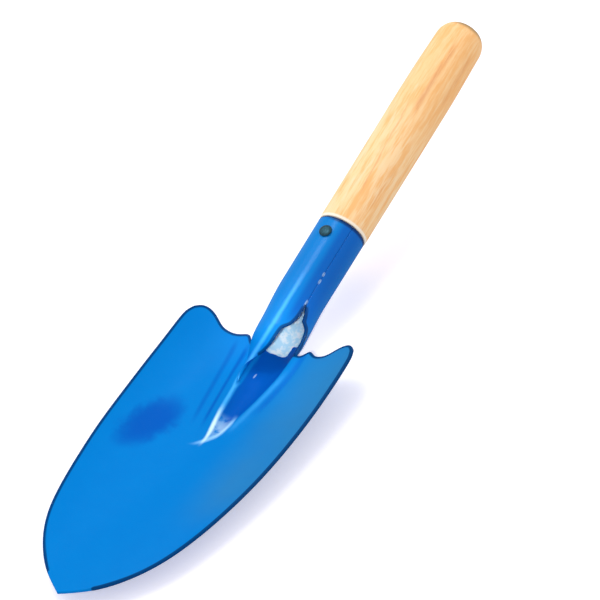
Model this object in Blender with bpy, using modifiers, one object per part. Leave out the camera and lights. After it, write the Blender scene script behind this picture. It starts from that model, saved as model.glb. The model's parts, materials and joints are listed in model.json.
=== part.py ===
"""Garden hand trowel: pressed steel blade with a rolled socket, turned wooden handle and one nail.

Every shape is drawn in the tool's own frame: the handle's axis runs along +Y, the hollow side of
the blade faces +Z and y = 0 is the neck, where the blade meets the socket. The tool is then tilted
and lowered as one, so that it lies on the back of its blade and the heel of its socket.
"""
import math

import bmesh
import bpy
import numpy as np
from mathutils import Matrix, Vector

MM = 0.001
NAME = "hand_trowel"

# Pressed sheet
SHEET = 1.5 * MM
WELD = 0.1 * MM                   # points closer than this are made one
BLADE_LENGTH = 158.0 * MM
DISH_CURVE = 11.42                # 1/m, curvature of the blade across its width
FACE_LEVEL = -4.06 * MM           # height of the blade's face at the neck, below the handle's axis
FACE_SLOPE = 0.0205               # rise of the face towards the tip, right at the neck
FACE_SCOOP = 1.40                 # 1/m, how fast that rise grows along the blade
VALLEY_DEPTH = 3.0 * MM           # how far the face sinks towards the groove at the neck
VALLEY_WIDTH = 20.0 * MM
VALLEY_END = -50.0 * MM

# Half outline of the blade, from the tip to the shoulder's corner, (y, half width) in mm
SIDE_EDGE = (
    (-158.0, 0.0), (-151.3, 11.5), (-142.3, 22.2), (-128.0, 32.6), (-113.4, 38.4), (-94.5, 42.9),
    (-76.0, 45.8), (-55.0, 47.3), (-35.0, 47.7), (-18.0, 47.4), (-9.0, 47.0), (-5.2, 46.3), (-2.2, 44.9),
)
# Shoulder from the groove's ridge outwards to that corner, (x, y) in mm: the relief, the hollow, the lobe
SHOULDER_EDGE = (
    (11.6, -6.4), (12.9, -6.7), (14.3, -6.5), (15.6, -5.2), (17.2, -3.5), (18.9, -3.5), (21.3, -4.8),
    (24.0, -5.7), (26.8, -5.7), (29.6, -4.9), (32.2, -3.2), (34.8, -1.3), (37.4, 0.0), (40.2, 0.5),
    (42.8, -0.3), (44.9, -2.2),
)
SHOULDER_FADE = 26.0 * MM         # how far below the shoulder the rows of the mesh are straight again
TIP_ROW = -0.9576 * BLADE_LENGTH  # ends of the lowest row of the mesh, which runs round the tip
TIP_FADE = 40.0 * MM              # how far above it the rows are straight again

# Groove that carries the socket's back into the blade, between two ridges, (y, x) in mm
GROOVE_END = -62.0 * MM
LEFT_RIDGE = (
    (-151.3, -4.0), (-120.0, -10.0), (-85.0, -8.0), (-70.0, -3.6), (-62.0, -2.4), (-50.0, -4.1),
    (-40.0, -5.8), (-30.0, -7.4), (-20.0, -8.6), (-15.0, -9.2), (-10.0, -9.8), (-3.0, -10.3),
)
RIGHT_RIDGE = (
    (-151.3, 4.0), (-120.0, 10.0), (-85.0, 8.0), (-70.0, 4.8), (-62.0, 4.2), (-50.0, 6.8),
    (-40.0, 8.8), (-30.0, 10.4), (-20.0, 11.6), (-15.0, 11.8), (-10.0, 11.7), (-6.4, 11.4), (-3.0, 10.3),
)
RIDGE_HEIGHT = 1.3 * MM
RIDGE_WIDTH = 6.0 * MM
RIDGE_RISE = 18.0 * MM            # length over which the ridges grow out of the face
RIDGE_FALL = 16.0 * MM            # length over which the left ridge fades beside the socket's left wing
FLOOR_START = -11.15 * MM         # middle of the sheet at the notch, on the groove's floor
FLOOR_RISE = 0.2302               # straight rise of the floor towards the tip
FLOOR_SOFT = 0.35 * MM            # rounding where the floor is lost in the face
SHALLOW = 0.25 * MM               # least depth for which the groove's arcs are worked out

# Rolled socket
SOCKET_LENGTH = 57.5 * MM
SOCKET_RIM_RADIUS = 11.8 * MM
SOCKET_NECK_RADIUS = 11.4 * MM
NECK_DROP = 2.0 * MM              # how far the socket's axis dips at the neck
NECK_DROP_START = 22.0 * MM
JOINT = -3.0 * MM                 # row where the groove's right wall becomes the socket's wall
NOTCH = -6.4 * MM                 # root of the relief between shoulder and socket
WING_END = -28.0 * MM             # where the left wing of the socket runs out along the ridge
WEB_ANGLE = 75.0                  # degrees each side of the bottom that the web covers
SLIT = 1.0 * MM                   # from the wing's root to the cut edge of the blade beside it
# Cut edges of the two wings, which meet at the seam: (y in mm, degrees from the bottom)
LEFT_SEAM = (
    (-28.0, 75.0), (-25.0, 104.0), (-22.0, 136.0), (-18.0, 180.0), (-15.0, 207.0), (-12.0, 217.0),
    (-9.3, 214.6), (-5.5, 211.4), (-2.0, 212.0), (2.3, 226.0), (7.0, 233.0), (11.0, 235.2),
    (16.0, 235.4), (57.5, 235.4),
)
RIGHT_SEAM = ((5.0, 111.0), (7.5, 112.0), (11.0, 118.0), (16.0, 121.6), (57.5, 121.6))
# Size of the left wing's roll beside the groove, (y in mm, share of the socket's size)
FUNNEL = (
    (-28.0, 0.2), (-22.0, 0.18), (-18.0, 0.19), (-15.0, 0.3), (-11.6, 0.57), (-9.3, 0.77),
    (-5.5, 0.94), (-1.0, 1.0),
)
# Lower edge of the right wing: (degrees from the bottom, y in mm)
RIGHT_LIP = ((75.0, -3.0), (80.0, 0.8), (86.0, 3.8), (93.0, 5.2), (101.0, 5.8), (112.0, 6.8))

# Rows of the mesh as shares of the run from one named place to the next
TIP_TO_GROOVE = (0.0, 0.048, 0.104, 0.171, 0.25, 0.339, 0.44, 0.541, 0.642, 0.742, 0.832, 0.899, 0.951)
GROOVE_TO_WING = (0.0, 0.076, 0.165, 0.265, 0.382, 0.5, 0.632, 0.765, 0.882)
WING_TO_NOTCH = (0.0, 0.074, 0.157, 0.259, 0.361, 0.454, 0.537, 0.62, 0.694, 0.769, 0.843, 0.917, 1.0)
JOINT_TO_RIM = (0.0, 0.033, 0.073, 0.116, 0.159, 0.202, 0.248, 0.314, 0.413, 0.545, 0.711, 0.86, 1.0)
HALF_WEB = (0.18, 0.37, 0.55, 0.72, 0.86, 1.0)
LEFT_COLUMNS = 15
RIGHT_COLUMNS = 5

# Turned handle
HANDLE_LENGTH = 123.0 * MM        # visible part, from the socket's rim to the butt
GRIP_RADIUS = 12.5 * MM
SHOULDER_RADIUS = 12.05 * MM
MIDDLE_RADIUS = 12.27 * MM        # about a third of the way from the shoulder to the butt
BUTT_RADIUS = 11.95 * MM          # just before the rounding
BUTT_FLAT_RADIUS = 5.5 * MM
BUTT_ROUNDING = 9.0 * MM
SHOULDER_CHAMFER = 0.8 * MM
RIM_GAP = 0.3 * MM
TENON_START = 23.0 * MM
TENON_CLEARANCE = 0.25 * MM
TURNING_STEPS = 48

# Nail
NAIL_ANGLE = 6.0                  # degrees right of the top
NAIL_FROM_RIM = 8.2 * MM
NAIL_HEAD_RADIUS = 3.0 * MM
NAIL_HEAD_HEIGHT = 1.2 * MM
NAIL_RIM = 0.3 * MM               # thickness of the nail head at its edge
NAIL_SHANK_RADIUS = 1.2 * MM
NAIL_LENGTH = 14.0 * MM
NAIL_POINT = 3.0 * MM
NAIL_CLEARANCE = 0.15 * MM
NAIL_SEAT = 0.08 * MM


def clear_scene():
    """Remove everything that a new file starts with."""
    for thing in list(bpy.data.objects):
        bpy.data.objects.remove(thing, do_unlink=True)


def ease(t):
    """Rise from 0 to 1 with no slope at either end."""
    t = np.clip(t, 0.0, 1.0)
    return t * t * (3.0 - 2.0 * t)


def hermite(points, at):
    """Smooth curve through points (a, b), read at the values in at. Slopes never overshoot."""
    a = np.array([p[0] for p in points], dtype=float)
    b = np.array([p[1] for p in points], dtype=float)
    step = np.diff(a)
    rise = np.diff(b) / step
    slope = np.zeros(len(a))
    slope[0] = rise[0]
    slope[-1] = rise[-1]
    for i in range(1, len(a) - 1):
        if rise[i - 1] * rise[i] > 0.0:
            w1 = 2.0 * step[i] + step[i - 1]
            w2 = step[i] + 2.0 * step[i - 1]
            slope[i] = (w1 + w2) / (w1 / rise[i - 1] + w2 / rise[i])
    at = np.clip(np.asarray(at, dtype=float), a[0], a[-1])
    k = np.clip(np.searchsorted(a, at, side="right") - 1, 0, len(a) - 2)
    t = (at - a[k]) / step[k]
    return (b[k] * (1.0 + 2.0 * t) * (1.0 - t) ** 2 + slope[k] * step[k] * t * (1.0 - t) ** 2
            + b[k + 1] * t * t * (3.0 - 2.0 * t) + slope[k + 1] * step[k] * t * t * (t - 1.0))


def table(points, at):
    """Same curve for a table in millimetres, read and returned in metres."""
    return hermite(points, np.asarray(at) / MM) * MM


def face_height(x, y):
    """Middle of the sheet on the blade's dished face, without the groove."""
    run = -y
    valley = VALLEY_DEPTH * ease(1.0 - y / VALLEY_END)
    return (FACE_LEVEL - SHEET / 2.0 + FACE_SLOPE * run + FACE_SCOOP * run * run
            + DISH_CURVE * x * x / 2.0 - valley * np.exp(-(x / VALLEY_WIDTH) ** 2))


def floor_height(y):
    """Middle of the sheet on the groove's floor: the lower of a rising line and the face, corner softened."""
    line = FLOOR_START + FLOOR_RISE * (NOTCH - y)
    face = face_height(0.0, y)
    low = np.minimum(line, face)
    return low - FLOOR_SOFT * np.log(np.exp((low - line) / FLOOR_SOFT) + np.exp((low - face) / FLOOR_SOFT))


def ridge_lift(y):
    """Height of the groove's two ridges over the face."""
    return RIDGE_HEIGHT * ease((y - GROOVE_END) / RIDGE_RISE)


def left_lift(y):
    """Same for the blade's edge beside the left wing, where the ridge fades out."""
    return ridge_lift(y) * (1.0 - ease((y - WING_END) / RIDGE_FALL))


def socket_axis(y):
    """Height of the socket's axis, which dips at the neck."""
    t = np.clip((NECK_DROP_START - y) / (NECK_DROP_START - JOINT), 0.0, 1.0)
    return -NECK_DROP * (1.0 - np.cos(math.pi * t)) / 2.0


def socket_radius(y):
    """Radius to the middle of the socket's sheet."""
    t = np.clip(y / SOCKET_LENGTH, 0.0, 1.0)
    return SOCKET_NECK_RADIUS + (SOCKET_RIM_RADIUS - SOCKET_NECK_RADIUS) * t - SHEET / 2.0


def round_point(angle, y):
    """Point of the socket's sheet at an angle in degrees from the bottom, positive to the right."""
    a = np.radians(angle)
    return socket_radius(y) * np.sin(a), socket_axis(y) - socket_radius(y) * np.cos(a)


def half_width(y):
    """Half width of the blade's outline, drawn out to the blade's length."""
    return table(SIDE_EDGE, y * SIDE_EDGE[0][0] * MM / -BLADE_LENGTH)


def tip_sag(x, y):
    """How far a row y hangs below its ends, so that the lowest row follows the pointed tip."""
    edge_y = np.linspace(-BLADE_LENGTH, TIP_ROW, 40)
    edge_x = half_width(edge_y)
    along = np.abs(x) / half_width(y) * edge_x[-1]
    fade = np.maximum(0.0, 1.0 - (y - TIP_ROW) / TIP_FADE) ** 2
    return (TIP_ROW - np.interp(along, edge_x, edge_y)) * fade


def web_grid(y, tau):
    """Groove from ridge to ridge and the socket's back. Rows are y, columns are tau from -1 to 1.

    Each side is two arcs that touch: one rises from the floor, one turns back to the level of the
    ridge. Beside the left wing it is a cubic curve that ends steeply instead, and near the neck it
    becomes the socket's round section.
    """
    y = y[:, None]
    left_x = table(LEFT_RIDGE, y)
    right_x = table(RIGHT_RIDGE, y)
    middle = (left_x + right_x) / 2.0
    half = (right_x - left_x) / 2.0
    floor = floor_height(y)
    crest = face_height(np.where(tau < 0.0, left_x, right_x), y) + ridge_lift(y)
    high = np.maximum(crest - floor, SHALLOW)
    share = 0.35 - 0.21 * ease((y - GROOVE_END) / (30.0 * MM))
    turn = 2.0 * np.arctan2(high, half)
    large = (1.0 - share) * half / np.sin(turn)
    small = share * half / np.sin(turn)
    t = np.abs(tau)
    split = 0.65
    first = turn * np.minimum(t / split, 1.0)
    second = turn * np.clip((1.0 - t) / (1.0 - split), 0.0, 1.0)
    x = large * np.sin(first) + small * (np.sin(turn) - np.sin(second))
    z = large * (1.0 - np.cos(first)) + small * (np.cos(second) - np.cos(turn))
    steep = math.radians(WEB_ANGLE)
    floor_pull = 0.6 * half
    crest_pull = 0.35 * high
    hold_x = half - crest_pull * math.cos(steep)
    hold_z = high - crest_pull * math.sin(steep)
    wall_x = 3.0 * floor_pull * t * (1.0 - t) ** 2 + 3.0 * hold_x * t**2 * (1.0 - t)
    wall_z = 3.0 * hold_z * t**2 * (1.0 - t)
    wall = ease((y - WING_END + 4.0 * MM) / (5.0 * MM)) * (tau < 0.0)
    x = x + (wall_x + half * t**3 - x) * wall
    z = z + (wall_z + high * t**3 - z) * wall
    x = middle + np.sign(tau) * x
    z = floor + z
    flat = 1.0 - ease((y - GROOVE_END + 1.0 * MM) / (6.0 * MM))
    x = x + (middle + tau * half - x) * flat
    z = z + (face_height(x, y) - z) * flat
    round_x, round_z = round_point(WEB_ANGLE * tau, y)
    near = ease((y + 10.0 * MM) / (9.0 * MM))
    x = x + (round_x - x) * near
    z = z + (round_z - z) * near
    sagged = y - tip_sag(x, y)
    z = np.where(flat > 0.999, face_height(x, sagged), z)
    return np.stack([x, sagged, z], axis=-1)


def left_wing_grid(y, f, base):
    """Left wall of the socket, rolled over the top to the seam.

    Its section is the socket's arc from the web's edge to the seam's edge. Beside the groove the arc
    shrinks about the web's edge to a narrow roll.
    """
    y = y[:, None]
    reach = WEB_ANGLE + (hermite(LEFT_SEAM, y / MM) - WEB_ANGLE) * f
    x0, z0 = round_point(-WEB_ANGLE, y)
    x1, z1 = round_point(-reach, y)
    size = hermite(FUNNEL, y / MM)
    x = base[:, None, 0] + (x1 - x0) * size
    z = base[:, None, 2] + (z1 - z0) * size
    return np.stack([x, y + 0.0 * x, z], axis=-1)


def right_wing_grid(row, f):
    """Right wall of the socket from the web's edge to the seam, cut off by its lower lip."""
    low = hermite(RIGHT_LIP, WEB_ANGLE + (RIGHT_LIP[-1][0] - WEB_ANGLE) * f) * MM
    y = low + (SOCKET_LENGTH - low) * row[:, None]
    angle = WEB_ANGLE + (hermite(RIGHT_SEAM, y / MM) - WEB_ANGLE) * f
    x, z = round_point(angle, y)
    return np.stack([x, y, z], axis=-1)


def face_grid(side, y, crest):
    """One side of the blade from the groove's ridge out to the cut edge. Rows are y.

    The rows follow the shoulder's outline at the top and straighten out further down.
    """
    edge = np.array(SHOULDER_EDGE) * MM
    reach = (edge[:, 0] - edge[0, 0]) / (edge[-1, 0] - edge[0, 0])
    bump = edge[:, 1] - (edge[0, 1] + (edge[-1, 1] - edge[0, 1]) * reach)
    start = y[:, None]
    fade = np.maximum(0.0, 1.0 - (NOTCH - start) / SHOULDER_FADE) ** 2
    side_y = start + (edge[-1, 1] - edge[0, 1]) * fade
    side_x = side * half_width(side_y)
    x0 = crest[:, None, 0]
    x = x0 + (side_x - x0) * reach
    py = start + (side_y - start) * reach + bump * fade - tip_sag(x, start)
    lift = left_lift(start) if side < 0.0 else ridge_lift(start)
    z = face_height(x, py) + lift * (1.0 - ease(np.abs(x - x0) / RIDGE_WIDTH))
    z[:, 0] = crest[:, 2]
    return np.stack([x, py, z], axis=-1)


def stations(start, end, shares):
    """Places along a run, which hits its start and its end exactly."""
    share = np.array(shares)
    return start * (1.0 - share) + end * share


def sheet_patches():
    """Patches of the pressed sheet's middle surface, which share the points along their borders."""
    upper = stations(JOINT, SOCKET_LENGTH, JOINT_TO_RIM)
    y = np.concatenate([
        stations(TIP_ROW, GROOVE_END, TIP_TO_GROOVE),
        stations(GROOVE_END, WING_END, GROOVE_TO_WING),
        stations(WING_END, NOTCH, WING_TO_NOTCH),
        upper,
    ])
    web = web_grid(y, np.concatenate([-np.array(HALF_WEB)[::-1], [0.0], HALF_WEB]))
    in_wing = y >= WING_END
    left = left_wing_grid(y[in_wing], np.linspace(0.0, 1.0, LEFT_COLUMNS), web[in_wing, 0])
    right = right_wing_grid(np.array(JOINT_TO_RIM), np.linspace(0.0, 1.0, RIGHT_COLUMNS))
    in_face = y <= NOTCH
    crest = web[in_face, 0].copy()
    loose = y[in_face] > WING_END
    crest[loose, 0] -= SLIT
    crest[loose, 2] = face_height(crest[loose, 0], crest[loose, 1]) + left_lift(crest[loose, 1])
    left_face = face_grid(-1.0, y[in_face], crest)
    right_face = face_grid(1.0, y[in_face], web[in_face, -1])
    return [web, left, right, left_face, right_face]


def pressed_mesh(name):
    """Mesh of the sheet's middle surface, with the patches welded where they meet."""
    patches = sheet_patches()
    faces = []
    start = 0
    for patch in patches:
        rows, columns = patch.shape[:2]
        index = start + np.arange(rows * columns).reshape(rows, columns)
        quads = np.stack([index[:-1, :-1], index[1:, :-1], index[1:, 1:], index[:-1, 1:]], axis=-1)
        faces.extend(quads.reshape(-1, 4).tolist())
        start += rows * columns
    mesh = bpy.data.meshes.new(name)
    mesh.from_pydata(np.concatenate([patch.reshape(-1, 3) for patch in patches]).tolist(), [], faces)
    bm = bmesh.new()
    bm.from_mesh(mesh)
    bmesh.ops.remove_doubles(bm, verts=bm.verts, dist=WELD)
    bmesh.ops.recalc_face_normals(bm, faces=bm.faces)
    bm.to_mesh(mesh)
    bm.free()
    mesh.update()
    return mesh


def new_material(name, color, roughness, metallic):
    """Principled material with one plain colour."""
    material = bpy.data.materials.new(name)
    material.use_nodes = True
    shader = material.node_tree.nodes["Principled BSDF"]
    shader.inputs["Base Color"].default_value = (*color, 1.0)
    shader.inputs["Roughness"].default_value = roughness
    shader.inputs["Metallic"].default_value = metallic
    material.diffuse_color = (*color, 1.0)
    return material


def new_object(name, mesh, collection, material=None, parent=None):
    """Object for a mesh, in a collection and under a parent."""
    thing = bpy.data.objects.new(name, mesh)
    collection.objects.link(thing)
    if material is not None:
        mesh.materials.append(material)
    if parent is not None:
        thing.parent = parent
    return thing


def smooth(mesh, degrees=35.0):
    """Shade smooth, with a crease wherever the surface turns sharply."""
    mesh.shade_smooth()
    mesh.set_sharp_from_angle(angle=math.radians(degrees))


def make_blade(collection, material, parent):
    """Blade, groove and socket in one sheet of steel."""
    mesh = pressed_mesh("blade")
    smooth(mesh)
    blade = new_object("blade", mesh, collection, material, parent)
    solid = blade.modifiers.new("sheet", "SOLIDIFY")
    solid.thickness = SHEET
    solid.offset = 0.0
    solid.use_even_offset = True
    solid.use_quality_normals = True
    return blade


def turned(name, profile, steps, collection, material, parent):
    """Solid turned about its own Z from a profile of (radius, height) points."""
    mesh = bpy.data.meshes.new(name)
    points = [(r, 0.0, h) for r, h in profile]
    mesh.from_pydata(points, [(i, i + 1) for i in range(len(points) - 1)], [])
    thing = new_object(name, mesh, collection, material, parent)
    screw = thing.modifiers.new("turn", "SCREW")
    screw.axis = "Z"
    screw.angle = math.tau
    screw.steps = steps
    screw.render_steps = steps
    screw.use_merge_vertices = True
    screw.merge_threshold = 0.00001
    screw.use_smooth_shade = True
    return thing


def handle_profile():
    """Outline of the handle from the butt down to the end of the tenon, as (radius, y)."""
    end = SOCKET_LENGTH + HANDLE_LENGTH
    profile = [(0.0, end), (BUTT_FLAT_RADIUS * 0.5, end), (BUTT_FLAT_RADIUS, end)]
    turn = BUTT_RADIUS - BUTT_FLAT_RADIUS
    drop = BUTT_ROUNDING
    for k in range(1, 9):
        a = math.radians(90.0 * k / 8.0)
        profile.append((BUTT_FLAT_RADIUS + turn * math.sin(a), end - drop * (1.0 - math.cos(a))))
    start = SOCKET_LENGTH + RIM_GAP + SHOULDER_CHAMFER
    barrel = ((0.0, SHOULDER_RADIUS), (0.35, MIDDLE_RADIUS), (0.72, GRIP_RADIUS), (1.0, BUTT_RADIUS))
    for k in range(1, 14):
        t = 1.0 - k / 14.0
        y = start + (end - drop - start) * t
        profile.append((float(hermite(barrel, t)), y))
    profile.append((SHOULDER_RADIUS, start))
    profile.append((SHOULDER_RADIUS - 0.38 * SHOULDER_CHAMFER, start - 0.7 * SHOULDER_CHAMFER))
    profile.append((SHOULDER_RADIUS - 1.1 * SHOULDER_CHAMFER, SOCKET_LENGTH + RIM_GAP))
    top = float(socket_radius(SOCKET_LENGTH)) - SHEET / 2.0 - TENON_CLEARANCE
    foot = float(socket_radius(TENON_START)) - SHEET / 2.0 - TENON_CLEARANCE
    profile.append((top, SOCKET_LENGTH + RIM_GAP))
    profile.append((0.5 * (top + foot), 0.5 * (SOCKET_LENGTH + TENON_START)))
    profile.append((foot, TENON_START + 1.5 * MM))
    profile.append((foot - 1.2 * MM, TENON_START))
    profile.append((0.0, TENON_START))
    return profile


def nail_place():
    """Point on the socket under the nail's head and the outward direction there."""
    y = SOCKET_LENGTH - NAIL_FROM_RIM
    a = math.radians(NAIL_ANGLE)
    out = Vector((math.sin(a), 0.0, math.cos(a)))
    radius = float(socket_radius(y)) + SHEET / 2.0
    return Vector((0.0, y, 0.0)) + out * radius, out


def nail_profile():
    """Outline of the nail from the top of its domed head down to its point, head seat at 0."""
    profile = [(0.0, NAIL_HEAD_HEIGHT)]
    for k in range(1, 7):
        a = math.radians(90.0 * k / 6.0)
        height = NAIL_RIM + (NAIL_HEAD_HEIGHT - NAIL_RIM) * math.cos(a)
        profile.append((NAIL_HEAD_RADIUS * math.sin(a), height))
    profile.append((NAIL_HEAD_RADIUS - 0.1 * MM, 0.0))
    profile.append((NAIL_SHANK_RADIUS, 0.0))
    profile.append((NAIL_SHANK_RADIUS, NAIL_POINT - NAIL_LENGTH))
    profile.append((0.0, -NAIL_LENGTH))
    return profile


def drill(target, name, radius, bottom, top, place, out, cutters, parent):
    """Round hole along a direction, from bottom to top measured from a place."""
    bm = bmesh.new()
    bmesh.ops.create_cone(bm, cap_ends=True, segments=32, radius1=radius, radius2=radius, depth=top - bottom)
    bmesh.ops.translate(bm, verts=bm.verts, vec=(0.0, 0.0, (top + bottom) / 2.0))
    mesh = bpy.data.meshes.new(name)
    bm.to_mesh(mesh)
    bm.free()
    cutter = new_object(name, mesh, cutters, None, parent)
    cutter.location = place
    cutter.rotation_euler = out.to_track_quat("Z", "Y").to_euler()
    cutter.hide_render = True
    cutter.display_type = "WIRE"
    cut = target.modifiers.new(name, "BOOLEAN")
    cut.operation = "DIFFERENCE"
    cut.solver = "EXACT"
    cut.object = cutter
    return cutter


def evaluated_points(things):
    """Points of the finished objects in the tool's own frame."""
    bpy.context.view_layer.update()
    graph = bpy.context.evaluated_depsgraph_get()
    clouds = []
    for thing in things:
        real = thing.evaluated_get(graph)
        mesh = real.to_mesh()
        block = np.empty(len(mesh.vertices) * 3)
        mesh.vertices.foreach_get("co", block)
        real.to_mesh_clear()
        turn = np.array(thing.matrix_world)
        clouds.append(block.reshape(-1, 3) @ turn[:3, :3].T + turn[:3, 3])
    return clouds


def rest_pose(things, blade):
    """Tilt and shift that lay the tool on the blade's back and the socket's heel, base at the origin."""
    clouds = evaluated_points(things)
    sheet = clouds[things.index(blade)]
    heel = sheet[(sheet[:, 1] > -20.0 * MM) & (sheet[:, 1] < 20.0 * MM)]
    front = sheet[sheet[:, 1] < -40.0 * MM]
    tilt = 0.0
    for step in range(12):
        c = math.cos(tilt)
        s = math.sin(tilt)
        low_heel = heel[np.argmin(heel[:, 1] * s + heel[:, 2] * c)]
        low_front = front[np.argmin(front[:, 1] * s + front[:, 2] * c)]
        tilt = math.atan2(low_front[2] - low_heel[2], low_heel[1] - low_front[1])
    turn = np.array(Matrix.Rotation(tilt, 3, "X"))
    cloud = np.concatenate(clouds) @ turn.T
    low = cloud.min(axis=0)
    high = cloud.max(axis=0)
    return tilt, Vector((-(low[0] + high[0]) / 2.0, -(low[1] + high[1]) / 2.0, -low[2]))


def main():
    clear_scene()
    collection = bpy.data.collections.new(NAME)
    bpy.context.scene.collection.children.link(collection)
    cutters = bpy.data.collections.new(NAME + "_cutters")
    bpy.context.scene.collection.children.link(cutters)
    frame = bpy.data.objects.new("rest_frame", None)
    collection.objects.link(frame)

    paint = new_material("blue_paint", (0.004, 0.245, 0.716), 0.25, 0.0)
    wood = new_material("light_wood", (0.896, 0.546, 0.260), 0.55, 0.0)
    steel = new_material("nail_steel", (0.33, 0.33, 0.26), 0.4, 1.0)

    blade = make_blade(collection, paint, frame)
    handle = turned("handle", handle_profile(), TURNING_STEPS, collection, wood, frame)
    handle.rotation_euler = (-math.pi / 2.0, 0.0, 0.0)
    nail = turned("nail", nail_profile(), 24, collection, steel, frame)
    place, out = nail_place()
    nail.location = place + out * NAIL_SEAT
    nail.rotation_euler = out.to_track_quat("Z", "Y").to_euler()

    hole = NAIL_SHANK_RADIUS + NAIL_CLEARANCE
    drill(blade, "sheet_hole", hole, -3.0 * MM, 2.0 * MM, place, out, cutters, frame)
    depth = NAIL_LENGTH + 0.6 * MM
    drill(handle, "wood_hole", hole, -depth, 2.0 * MM, place, out, cutters, frame)

    tilt, shift = rest_pose([blade, handle, nail], blade)
    frame.rotation_euler = (tilt, 0.0, 0.0)
    frame.location = shift
    bpy.context.view_layer.update()
    print("rest tilt in degrees", round(math.degrees(tilt), 4))
    print("rest shift in mm", [round(v / MM, 4) for v in shift])


main()
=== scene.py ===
"""Garden hand trowel: finish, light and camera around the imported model.

Shapes are worked out in the tool's own frame: the handle's axis runs along +Y, the hollow side of
the blade faces +Z and y = 0 is the neck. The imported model's butt mount gives the pose of that frame.
"""

import json
import math

import bmesh
import bpy
import numpy as np
from bpy.props import FloatProperty, FloatVectorProperty, PointerProperty
from mathutils import Euler, Matrix, Vector


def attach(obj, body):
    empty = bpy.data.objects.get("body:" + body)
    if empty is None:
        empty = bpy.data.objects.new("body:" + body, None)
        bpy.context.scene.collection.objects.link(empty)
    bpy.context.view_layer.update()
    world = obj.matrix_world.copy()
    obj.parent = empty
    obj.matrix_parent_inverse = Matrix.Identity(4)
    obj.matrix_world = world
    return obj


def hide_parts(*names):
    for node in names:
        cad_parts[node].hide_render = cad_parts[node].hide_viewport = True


bl_info = {
    "name": "Garden hand trowel",
    "version": (1, 0, 0),
    "blender": (4, 5, 0),
    "location": "View3D > Sidebar > Trowel",
    "description": "Pressed blade, turned handle and nail of a small garden trowel, with its stage",
    "category": "Add Mesh",
}

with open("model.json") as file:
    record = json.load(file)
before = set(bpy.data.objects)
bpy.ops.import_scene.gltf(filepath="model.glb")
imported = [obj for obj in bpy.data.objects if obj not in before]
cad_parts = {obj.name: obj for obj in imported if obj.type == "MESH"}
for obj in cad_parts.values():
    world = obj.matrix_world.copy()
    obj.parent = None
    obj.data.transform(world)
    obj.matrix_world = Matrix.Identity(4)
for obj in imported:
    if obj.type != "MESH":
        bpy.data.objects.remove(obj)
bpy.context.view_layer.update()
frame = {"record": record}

MM = 0.001
SOCKET_LENGTH = 57.5 * MM
HANDLE_LENGTH = 123.0 * MM
BLADE_LENGTH = 158.0 * MM
BUTT = frame["record"]["mounts"][0]
TOOL_AXIS = Vector(BUTT["axis"]).normalized()
TOOL_TILT = math.atan2(TOOL_AXIS.z, TOOL_AXIS.y)
TOOL_ORIGIN = Vector(BUTT["pos_m"]) - TOOL_AXIS * (SOCKET_LENGTH + HANDLE_LENGTH)
TOOL = Matrix.Translation(TOOL_ORIGIN) @ Matrix.Rotation(TOOL_TILT, 4, "X")

# Half outline of the blade from the tip to the shoulder's corner, (y, half width) in mm
SIDE_EDGE = (
    (-158.0, 0.0), (-151.3, 11.5), (-142.3, 22.2), (-128.0, 32.6), (-113.4, 38.4), (-94.5, 42.9),
    (-76.0, 45.8), (-55.0, 47.3), (-35.0, 47.7), (-18.0, 47.4), (-9.0, 47.0), (-5.2, 46.3), (-2.2, 44.9),
)
# Shoulder from the groove's ridge outwards to that corner, (x, y) in mm: relief, hollow, lobe
SHOULDER_EDGE = (
    (11.6, -6.4), (12.9, -6.7), (14.3, -6.5), (15.6, -5.2), (17.2, -3.5), (18.9, -3.5), (21.3, -4.8),
    (24.0, -5.7), (26.8, -5.7), (29.6, -4.9), (32.2, -3.2), (34.8, -1.3), (37.4, 0.0), (40.2, 0.5),
    (42.8, -0.3), (44.9, -2.2),
)
# Lines of the groove's two ridges, (y, x) in mm
LEFT_RIDGE = (
    (-151.3, -4.0), (-120.0, -10.0), (-85.0, -8.0), (-70.0, -3.6), (-62.0, -2.4), (-50.0, -4.1),
    (-40.0, -5.8), (-30.0, -7.4), (-20.0, -8.6), (-15.0, -9.2), (-10.0, -9.8), (-3.0, -10.3),
)
RIGHT_RIDGE = (
    (-151.3, 4.0), (-120.0, 10.0), (-85.0, 8.0), (-70.0, 4.8), (-62.0, 4.2), (-50.0, 6.8),
    (-40.0, 8.8), (-30.0, 10.4), (-20.0, 11.6), (-15.0, 11.8), (-10.0, 11.7), (-6.4, 11.4), (-3.0, 10.3),
)
# Places along y: end of the groove in the face, last whole row before the pointed tip, end of the valley,
# notch beside the groove, lower end of the left wing, and joint of the groove with the round socket
GROOVE_END = -62.0 * MM
TIP_ROW = -151.3 * MM
VALLEY_END = -50.0 * MM
NOTCH = -6.4 * MM
WING_END = -28.0 * MM
JOINT = -3.0 * MM
# Floor of the groove: height at the notch, rise towards the tip, and softness of its corner with the face
FLOOR_START = -11.15 * MM
FLOOR_RISE = 0.2302
FLOOR_BLEND = 0.35 * MM
# Face of the blade: height at the neck, slope and scoop along y, curve across, and a valley down the middle
FACE_LEVEL = -4.06 * MM
FACE_SLOPE = 0.0205
FACE_SCOOP = 1.40
DISH_CURVE = 11.42
VALLEY_DEPTH = 3.0 * MM
VALLEY_WIDTH = 20.0 * MM
# Lengths over which the ridges rise out of the face and the left one sinks again beside the slit
RIDGE_RISE = 18.0 * MM
RIDGE_SINK = 16.0 * MM
# Lengths over which the rows level out above the pointed tip and below the shoulder
TIP_FADE = 40.0 * MM
SHOULDER_FADE = 26.0 * MM
# Degrees from the bottom at which the groove's web ends and the wings begin
WEB_ANGLE = 75.0
# Column of the web, from 0 in the middle to 1 at the ridge, where the groove's two arcs touch
ARC_SPLIT = 0.65
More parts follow.
